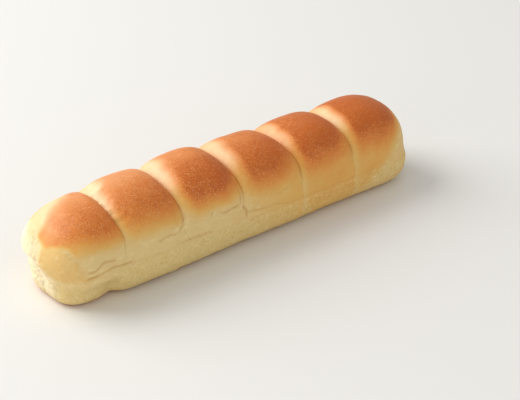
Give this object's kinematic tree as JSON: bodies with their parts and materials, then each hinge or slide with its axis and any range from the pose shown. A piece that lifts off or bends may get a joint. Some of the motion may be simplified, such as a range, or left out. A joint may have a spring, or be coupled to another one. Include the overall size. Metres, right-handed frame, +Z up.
{
  "type": "pull-apart brioche",
  "caption": "Long pull-apart brioche loaf of soft domed buns baked in a row, with deep seams across the browned top, pale sides and a flat base.",
  "frame": {"origin": "middle of the loaf's footprint, on the surface it rests on", "axes": "+Z up, +X along the row of buns towards the slimmer end, +Y across the loaf"},
  "size_m": [0.2872, 0.0732, 0.06],
  "materials": {
    "bread": "soft baked dough: satin golden-brown crust on the crowns, matt pale yellow crumb at the sides"
  },
  "bodies": {
    "root": {"brioche_loaf": "bread"}
  },
  "joints": []
}
